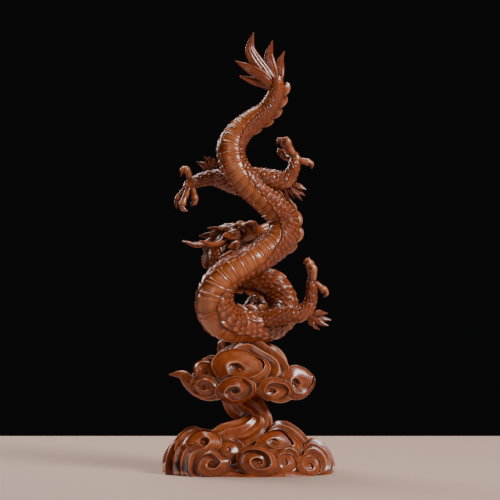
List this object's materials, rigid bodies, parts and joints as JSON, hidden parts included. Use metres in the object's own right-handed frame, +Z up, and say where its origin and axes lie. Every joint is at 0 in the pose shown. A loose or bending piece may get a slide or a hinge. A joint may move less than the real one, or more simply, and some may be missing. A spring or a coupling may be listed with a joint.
{
  "type": "dragon sculpture",
  "caption": "Carved boxwood dragon, tail up, coiled in an S above a curled cloud stand on a fluted stem, its head looking back behind the coil.",
  "frame": {"origin": "middle of the stand's flat underside", "axes": "+Z up along the sculpture's height, +X to the side where the right front leg reaches out, -Y to the front, where the belly shows"},
  "size_m": [0.0797, 0.0616, 0.2011],
  "materials": {
    "dragon_wood": "oiled and waxed boxwood, reddish orange-brown, darker in the cuts",
    "stand_wood": "oiled and waxed boxwood, reddish brown, darker in the cuts"
  },
  "bodies": {
    "root": {"dragon": "dragon_wood", "cloud_stand": "stand_wood"}
  },
  "joints": []
}
